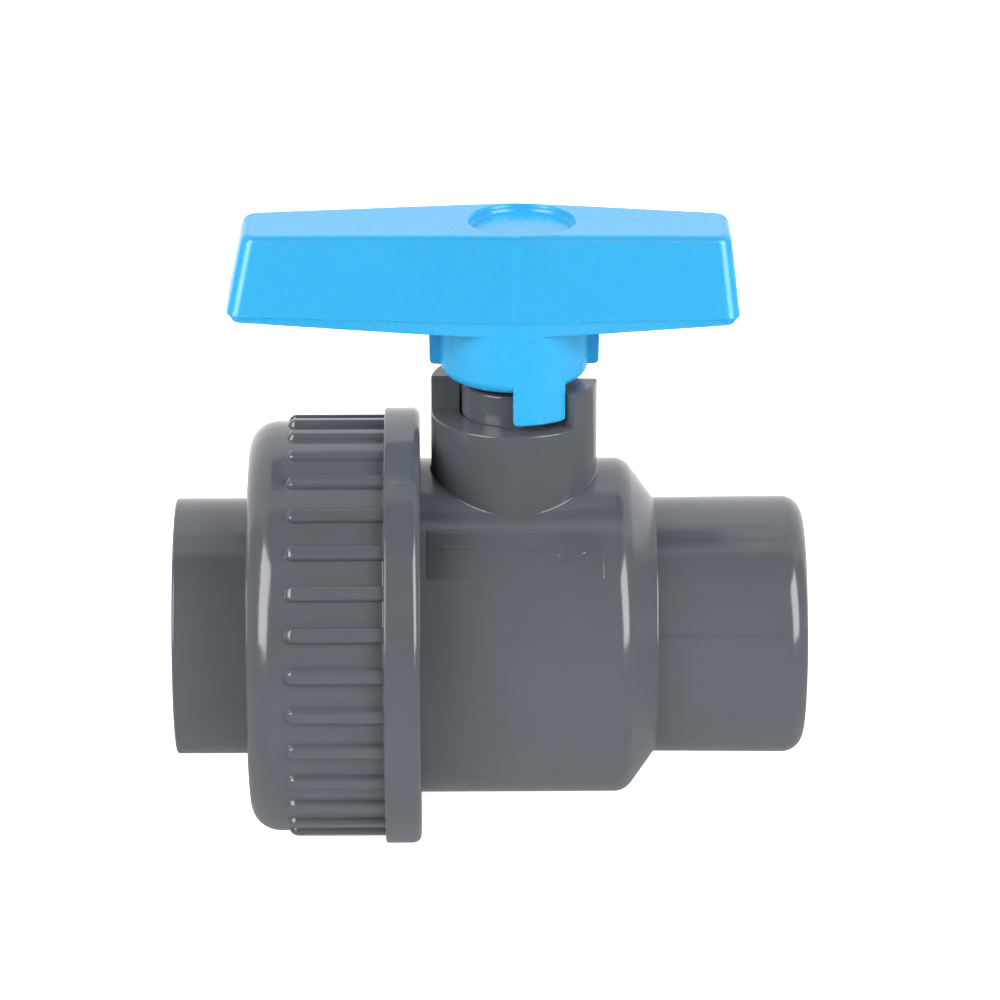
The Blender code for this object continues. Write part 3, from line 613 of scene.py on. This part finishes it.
def make_neck_fillet():
    """Small concave fillet between the neck and the barrel, as a ring let into both."""
    fillet = 0.6 * MM
    sink = 0.03 * MM
    rows = []
    for column in range(AROUND):
        angle = math.radians(POCKET_START + 2.0 * column)
        across = NECK_R * math.cos(angle)
        foot = math.sqrt(BARREL_R ** 2 - across ** 2)
        slope = math.atan(NECK_R * math.cos(angle) ** 2 / foot)
        tangent = fillet * math.tan((math.pi / 2 - slope) / 2)
        start_angle, end_angle = math.pi, math.pi * 1.5 - slope
        centre = (NECK_R + fillet - sink, foot + tangent - sink)
        ring = []
        for part in range(7):
            around = start_angle + (end_angle - start_angle) * part / 6
            ring.append((centre[0] + fillet * math.cos(around), centre[1] + fillet * math.sin(around)))
        ring += [(ring[-1][0] - 0.5 * MM, ring[-1][1] - 1.5 * MM), (NECK_R - 1.5 * MM, foot - 1.5 * MM),
                 (NECK_R - 1.5 * MM, ring[0][1])]
        rows.append([(radius * math.sin(angle), -radius * math.cos(angle), height)
                     for radius, height in ring])
    return grid_object("neck_fillet", np.array(rows))


def make_body():
    """Housing: turned outside and inside, thread by relief, neck joined on."""
    socket_floor = BODY_RIGHT - SOCKET_DEPTH
    recess_floor = BODY_LEFT + RECESS_DEPTH
    thread_room = BODY_LEFT + 22 * MM
    outline = [(BODY_LEFT, BARREL_R, 0.5 * MM), (thread_room, BARREL_R, 0.0),
               (BARREL_END, BARREL_R, 5.0 * MM), (CONE_END, SOCKET_OUTER_R - SOCKET_FLARE, 0.8 * MM),
               (BODY_RIGHT, SOCKET_OUTER_R + SOCKET_FLARE, 5.0 * MM),
               (BODY_RIGHT, SOCKET_R, 0.8 * MM), (socket_floor, SOCKET_R, 0.5 * MM),
               (socket_floor, FLOW_R, 0.4 * MM)]
    outline += pocket_corners(SEAT_FRONT_X)[::-1]
    outline += [(SEAT_FRONT_X, CHAMBER_R, 0.6 * MM), (recess_floor, CHAMBER_R, 0.3 * MM),
                (recess_floor, RECESS_R, 0.3 * MM), (BODY_LEFT, RECESS_R, 0.4 * MM)]
    profile = rounded(outline, degrees_per_step=8.0)
    profile = densified(profile, 0.4 * MM, (BODY_LEFT, BARREL_R - NEAR), (thread_room, BARREL_R + NEAR))
    thread = thread_relief(*BODY_THREAD, BARREL_R, THREAD_CREST_R, foot_width=3.0 * MM, tip_width=1.3 * MM)
    body = lathe("body", profile, relief=thread)
    neck = make_neck()
    chamber = lathe("chamber", [(-CHAMBER_R, 0.0), (CHAMBER_R, 0.0), (CHAMBER_R, CHAMBER_R - SHY),
                                (-CHAMBER_R, CHAMBER_R - SHY)])
    boolean(neck, chamber, "DIFFERENCE")
    boolean(body, neck, "UNION")
    boolean(body, make_neck_fillet(), "UNION")
    room = STEM_COLLAR[1] + GAP
    bore_top = POCKET_FLOOR - 5 * MM
    bore = lathe("bore", [(BALL_R / 2, 0.0), (bore_top, 0.0),
                          (bore_top, STEM_BORE_R - SHY), (room, STEM_BORE_R - SHY),
                          (room, COLLAR_R + GAP), (BALL_R / 2, COLLAR_R + GAP)], "Z")
    return boolean(body, bore, "DIFFERENCE")


def make_plate(outline, rise, slope):
    """Raised patch on the barrel: outline of (x, arc length from the front) points, edge sloping."""
    plate = prism("plate", outline, -3 * slope, slope, 0.9 * slope)
    bm = bmesh.new()
    bm.from_mesh(plate.data)
    arcs = [vert.co.y for vert in bm.verts]
    for cut in np.arange(min(arcs) + MM, max(arcs), MM):
        bmesh.ops.bisect_plane(bm, geom=bm.verts[:] + bm.edges[:] + bm.faces[:],
                               plane_co=(0, cut, 0), plane_no=(0, 1, 0))
    for vert in bm.verts:
        x, arc, height = vert.co
        radius, angle = BARREL_R + height * rise / slope, arc / BARREL_R
        vert.co = (x, -radius * math.cos(angle), radius * math.sin(angle))
    bmesh.ops.recalc_face_normals(bm, faces=bm.faces)
    bm.to_mesh(plate.data)
    bm.free()
    return plate


# Stem and handle

def make_stem():
    low, high = STEM_COLLAR
    outline = [(low, 0.0, 0.0), (low, COLLAR_R, 0.4 * MM),
               (high, COLLAR_R, 0.4 * MM), (high, STEM_R, 0.3 * MM)]
    for height in STEM_RINGS:
        floor, roof = height - RING_GROOVE_HALF, height + RING_GROOVE_HALF
        outline += [(floor, STEM_R, 0.15 * MM), (floor, RING_GROOVE_R, 0.3 * MM),
                    (roof, RING_GROOVE_R, 0.3 * MM), (roof, STEM_R, 0.15 * MM)]
    outline += [(STEM_SHOULDER, STEM_R, 0.7 * MM), (STEM_SHOULDER, 0.0, 0.0)]
    stem = lathe("stem", rounded(outline), "Z")
    half = DRIVE_WIDTH / 2
    drive = prism("drive", rectangle(-half, half, half), STEM_SHOULDER - 2 * MM, DRIVE_TOP, 0.8 * MM)
    boolean(stem, drive, "UNION")
    wide, deep = TANG[0] / 2, TANG[1] / 2
    tang = prism("tang", rectangle(-wide, wide, deep), TANG_BOTTOM, low + 2 * MM, 0.6 * MM)
    return boolean(stem, tang, "UNION")


def between(first, second, share):
    return tuple(a + (b - a) * share for a, b in zip(first, second))


def raised(heights, rise):
    return tuple(height + rise for height in heights)


def bar_ring(share, inset, heights):
    """One level of the bar: share 0 is its outline at the break line, 1 at the top."""
    left_end, right_end = between((BAR_LEFT, BAR_RIGHT), (BAR_TOP_LEFT, BAR_TOP_RIGHT), share)
    left, right = left_end + inset, right_end - inset
    flare = BAR_FLARE * (1 - share) - inset
    end, middle = BAR_HALF_END + flare, BAR_HALF_MIDDLE + flare
    corner = max(BAR_CORNER_R - inset, 0.8 * MM)
    outline = rounded([(left, -end, corner), (0.0, -middle, BAR_APEX_R), (right, -end, corner),
                       (right, end, corner), (0.0, middle, BAR_APEX_R), (left, end, corner)],
                      degrees_per_step=9.6)
    left_z, middle_z, right_z = heights
    ring = []
    for (x0, y0), (x1, y1) in zip(outline, outline[1:] + outline[:1]):
        pieces = 12 if abs(x1 - x0) > 30 * MM else 1        # long sides, so that they can bow
        for piece in range(pieces):
            x, y = x0 + (x1 - x0) * piece / pieces, y0 + (y1 - y0) * piece / pieces
            part, end_z = (x / left_end, left_z) if x < 0 else (x / right_end, right_z)
            bow = (math.hypot(part, BAR_BOW) - BAR_BOW) / (math.hypot(1.0, BAR_BOW) - BAR_BOW)
            ring.append((x, y, middle_z + (end_z - middle_z) * bow))
    return ring


def rim(radius, steps):
    """Quarter circle as (distance below the top, distance in from the side), bottom first."""
    for step in range(steps + 1):
        angle = math.pi / 2 * step / steps
        yield radius * (1 - math.sin(angle)), radius * (1 - math.cos(angle))


def make_bar():
    """Outer shape of the bar: flared sides above the break line, a tucked band below it."""
    band = BAR_LIP + BAR_TUCK
    rings = [bar_ring(0.0, band + inset, raised(BAR_BOTTOM_Z, rise))
             for rise, inset in reversed(list(rim(0.7 * MM, 4)))]
    rings.append(bar_ring(0.0, BAR_LIP, raised(BAR_BREAK_Z, -0.12 * MM)))
    rings += [bar_ring(0.0, inset, raised(BAR_BREAK_Z, rise))
              for rise, inset in ((-0.06 * MM, 0.08 * MM), (0.02 * MM, 0.0), (0.3 * MM, 0.01 * MM))]
    for step in range(1, 6):
        rings.append(bar_ring(step / 6, 0.0, between(BAR_BREAK_Z, BAR_TOP_Z, step / 6)))
    tall = BAR_TOP_Z[1] - BAR_BREAK_Z[1]
    for drop, inset in rim(1.6 * MM, 8):
        rings.append(bar_ring(1 - drop / tall, inset, raised(BAR_TOP_Z, -drop)))
    for inset in (3.0, 5.0, 7.0, 9.0):
        rings.append(bar_ring(1.0, inset * MM, BAR_TOP_Z))
    return grid_object("bar", np.array(rings), close_rows=False)


def make_hollow():
    """The space inside the bar, open below."""
    rings = [bar_ring(0.0, BAR_WALL, raised(BAR_BOTTOM_Z, -2 * MM)),
             bar_ring(0.0, BAR_WALL, BAR_BREAK_Z)]
    tall = BAR_TOP_Z[1] - BAR_BREAK_Z[1]
    for drop, inset in rim(1.5 * MM, 4):
        drop += BAR_WALL
        rings.append(bar_ring(1 - drop / tall, BAR_WALL + inset, raised(BAR_TOP_Z, -drop)))
    return grid_object("hollow", np.array(rings), close_rows=False)


def make_lug():
    """Stop lug: a piece of the hub's wall carried down, lower corners rounded."""
    outer, corner, edge = HUB_R - 0.03 * MM, 1.1 * MM, 0.35 * MM
    middle_r = (outer + LUG_INNER_R) / 2
    rings = []
    levels = [(0.0, edge), (0.1 * MM, edge * 0.45), (edge, 0.0)]
    levels += [(edge + (corner - edge) * step / 3, 0.0) for step in range(1, 4)]
    levels += [(HUB_SHOULDER + 2 * MM - LUG_BOTTOM, 0.0)]
    for rise, inset in levels:
        rounding = math.sqrt(max(corner ** 2 - max(corner - rise, 0.0) ** 2, 0.0))
        side = corner - rounding if rise < corner else 0.0
        start = math.radians(LUG_START) * middle_r + side + inset
        end = math.radians(LUG_END) * middle_r - side * 0.4 - inset
        outline = rounded([(start, LUG_INNER_R + inset, 0.3 * MM), (end, LUG_INNER_R + inset, 0.3 * MM),
                           (end, outer - inset, 0.35 * MM), (start, outer - inset, 0.35 * MM)],
                          degrees_per_step=30.0)
        outline = densified(outline, 0.9 * MM, *EVERYWHERE)
        rings.append([(radius * math.sin(arc / middle_r), -radius * math.cos(arc / middle_r),
                       LUG_BOTTOM + rise) for arc, radius in outline])
    most = max(len(ring) for ring in rings)
    rings = [resample(ring, most) for ring in rings]
    return grid_object("lug", np.array(rings), close_rows=False)


def make_handle():
    handle = make_bar()
    hollow = make_hollow()
    web = prism("web", rectangle(BAR_LEFT, BAR_RIGHT, WEB_HALF), WEB_BOTTOM, BAR_CROWN)
    boolean(hollow, web, "DIFFERENCE")
    boolean(handle, hollow, "DIFFERENCE")

    core_top = BAR_CROWN - 2.5 * MM
    hub_profile = [(core_top, 0.0), (core_top, CORE_R), (HUB_TOP, CORE_R), (HUB_TOP, HUB_R)]
    for step in range(9):
        angle = math.pi / 2 * step / 8
        hub_profile.append((HUB_SHOULDER - (HUB_SHOULDER - HUB_BOTTOM) * math.sin(angle),
                            HUB_FOOT_R + (HUB_R - HUB_FOOT_R) * math.cos(angle)))
    hub_profile.append((HUB_BOTTOM, 0.0))
    boolean(handle, lathe("hub", hub_profile, "Z"), "UNION")
    for turn in (0.0, HALF_TURN):
        lug = make_lug()
        lug.data.transform(Matrix.Rotation(math.radians(turn), 4, "Z"))
        boolean(handle, lug, "UNION")
    for side in (-1, 1):
        outline = rounded([(side * EAR_ROOT, EAR_BOTTOM - 0.2 * MM, 0.0),
                           (side * (EAR_REACH - 0.2 * MM), EAR_BOTTOM + 0.4 * MM, 1.1 * MM),
                           (side * (EAR_REACH + 0.1 * MM), EAR_TOP, 0.0), (side * EAR_ROOT, EAR_TOP, 0.0)])
        ear = prism("ear", outline, -EAR_HALF, EAR_HALF, 0.3 * MM, "Y")
        boolean(handle, ear, "UNION")
    half = DRIVE_SOCKET_HALF
    socket = prism("socket", rectangle(-half, half, half), HUB_BOTTOM - 2 * MM, DRIVE_SOCKET_TOP, 0.6 * MM)
    boolean(handle, socket, "DIFFERENCE")
    centre_x, radius, depth = CAP_RECESS
    recess = rounded([(BAR_CROWN - depth, 0.0, 0.0), (BAR_CROWN - depth, radius, 1.1 * MM),
                      (BAR_CROWN - 0.55 * MM, radius + 0.02 * MM, 0.3 * MM),
                      (BAR_CROWN + 0.5 * MM, radius + 0.9 * MM, 0.0),
                      (BAR_CROWN + 2 * MM, radius + 0.9 * MM, 0.0), (BAR_CROWN + 2 * MM, 0.0, 0.0)])
    cutter = lathe("recess", recess, "Z")
    cutter.data.transform(Matrix.Translation((centre_x, 0, 0)))
    return boolean(handle, cutter, "DIFFERENCE")


def make_object():
    finish_piece(make_body(), "body", "root", GREY)
    finish_piece(make_nut(), "union_nut", "nut", GREY, 40.0)
    finish_piece(make_connector(), "end_connector", "union_end", GREY)
    finish_piece(make_carrier(), "seal_carrier", "root", GREY)
    finish_piece(make_ball(), "ball", "ball", GREY)
    finish_piece(make_stem(), "stem", "stem", GREY)
    finish_piece(make_handle(), "handle", "handle", BLUE)
    seats = {"ball_seat_fixed": seat_corners(), "ball_seat_carrier": flipped(seat_corners())}
    for node, corners in seats.items():
        seat = lathe(node, rounded(corners, degrees_per_step=20.0))
        finish_piece(seat, node, "root", WHITE)
    cushion_x = SEAT_BACK_X + GAP + 1.5 * MM
    # Name, place along the axis, ring and section radius in mm, axis, body
    rings = [("seat_cushion_oring_fixed", cushion_x, 23.1, 1.3, "X", "root"),
             ("seat_cushion_oring_carrier", -cushion_x, 23.1, 1.3, "X", "root"),
             ("carrier_body_oring", -35.7 * MM, 31.8, 1.35, "X", "root"),
             ("union_face_oring", BODY_LEFT + 1.55 * MM, 28.0, 1.3, "X", "root"),
             ("stem_oring_lower", STEM_RINGS[0], 11.4, 1.25, "Z", "stem"),
             ("stem_oring_upper", STEM_RINGS[1], 11.4, 1.25, "Z", "stem")]
    for node, along, ring_radius, section_radius, axis, body in rings:
        ring = make_ring(node, along, ring_radius * MM, section_radius * MM, axis)
        finish_piece(ring, node, body, BLACK)
    # Name, rise and edge width in mm, corners as (x in mm, degrees above the front)
    marks = [("label_panel", 0.18, 0.3, [(-21.1, 36.6), (21.1, 36.6), (21.1, 54.9), (-21.1, 54.9)]),
             ("label_bar", 0.34, 0.35, [(-17.6, 44.3), (10.5, 44.3), (10.5, 48.8), (-17.6, 48.8)]),
             ("flow_ridge", 0.52, 0.7, [(9.6, 41.0), (11.2, 41.0), (17.4, 46.2), (15.8, 46.2)])]
    for name, rise, slope, corners in marks:
        outline = [(x * MM, math.radians(angle) * BARREL_R) for x, angle in corners]
        plate = make_plate(outline, rise * MM, slope * MM)
        shade(plate, name, GREY, 50)
        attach(plate, "root")


# Studio

def make_floor():
    """Pale, softly glowing table sheet that ends a little in front of the valve."""
    low = CAD_BOX[0].z
    outline = rounded([(-3.0, -0.19, 0.05), (3.0, -0.19, 0.05), (3.0, 5.0, 1.0), (-3.0, 5.0, 1.0)])
    floor = prism("floor", outline, low - 0.004, low, 0.001)
    nodes = Nodes("pale_floor")
    nodes.link(nodes.ramp(nodes.noise(3.0), [(0.3, 0.78), (0.7, 0.82)]), nodes.shader.inputs["Base Color"])
    nodes.shader.inputs["Roughness"].default_value = 0.7
    nodes.shader.inputs["Specular IOR Level"].default_value = 0.1
    nodes.shader.inputs["Emission Color"].default_value = (1.0, 1.0, 1.0, 1.0)
    nodes.shader.inputs["Emission Strength"].default_value = 0.85
    floor.data.materials.append(nodes.material)
    floor.visible_glossy = False            # the plastic mirrors only the soft boxes


def soft_box(name, azimuth, elevation, distance, size, shine, glow):
    """Soft box facing the valve, with its own radiance in reflections and as lighting."""
    direction = direction_of(azimuth, elevation)
    for part, radiance in (("shine", shine), ("glow", glow)):
        light = bpy.data.lights.new(f"{name}_{part}", "AREA")
        light.shape = "RECTANGLE"
        light.size, light.size_y = size
        light.energy = radiance * math.pi * size[0] * size[1]
        box = bpy.data.objects.new(light.name, light)
        box.location = direction * distance + Vector((0, 0, 0.02))
        box.rotation_euler = direction.to_track_quat("Z", "Y").to_euler()
        box.visible_camera = False
        box.visible_diffuse = part == "glow"
        box.visible_glossy = part == "shine"
        bpy.context.scene.collection.objects.link(box)


def make_world():
    """Dim, even surroundings that the camera sees as a white backdrop."""
    world = bpy.data.worlds.new("studio")
    bpy.context.scene.world = world
    world.use_nodes = True
    tree = world.node_tree
    background = tree.nodes["Background"]
    background.inputs["Color"].default_value = (1.0, 1.0, 1.0, 1.0)
    seen = tree.nodes.new("ShaderNodeLightPath").outputs["Is Camera Ray"]
    strength = tree.nodes.new("ShaderNodeMapRange")
    strength.inputs["To Min"].default_value = 0.3
    strength.inputs["To Max"].default_value = 1.0
    tree.links.new(seen, strength.inputs["Value"])
    tree.links.new(strength.outputs["Result"], background.inputs["Strength"])


def make_camera():
    """Long lens from far away, looking a little down on the valve's front."""
    direction = direction_of(CAMERA_AZIMUTH, CAMERA_ELEVATION)
    data = bpy.data.cameras.new("camera")
    data.sensor_width = 36.0
    data.lens = CAMERA_LENS
    data.clip_start, data.clip_end = 0.05, 50.0
    camera = bpy.data.objects.new("camera", data)
    camera.location = Vector(CAMERA_TARGET) + direction * CAMERA_DISTANCE
    camera.rotation_euler = direction.to_track_quat("Z", "Y").to_euler()
    bpy.context.scene.collection.objects.link(camera)
    bpy.context.scene.camera = camera


make_camera()
make_world()
make_floor()
soft_box("right", 49, elevation=27, distance=1.7, size=(1.05, 1.6), shine=9.0, glow=9.0)
soft_box("left", -49, elevation=27, distance=1.7, size=(1.05, 1.6), shine=9.0, glow=9.0)
soft_box("back", 180, elevation=35, distance=1.5, size=(5.0, 4.6), shine=0.85, glow=0.03)
make_object()
bpy.context.scene.view_settings.view_transform = "Standard"
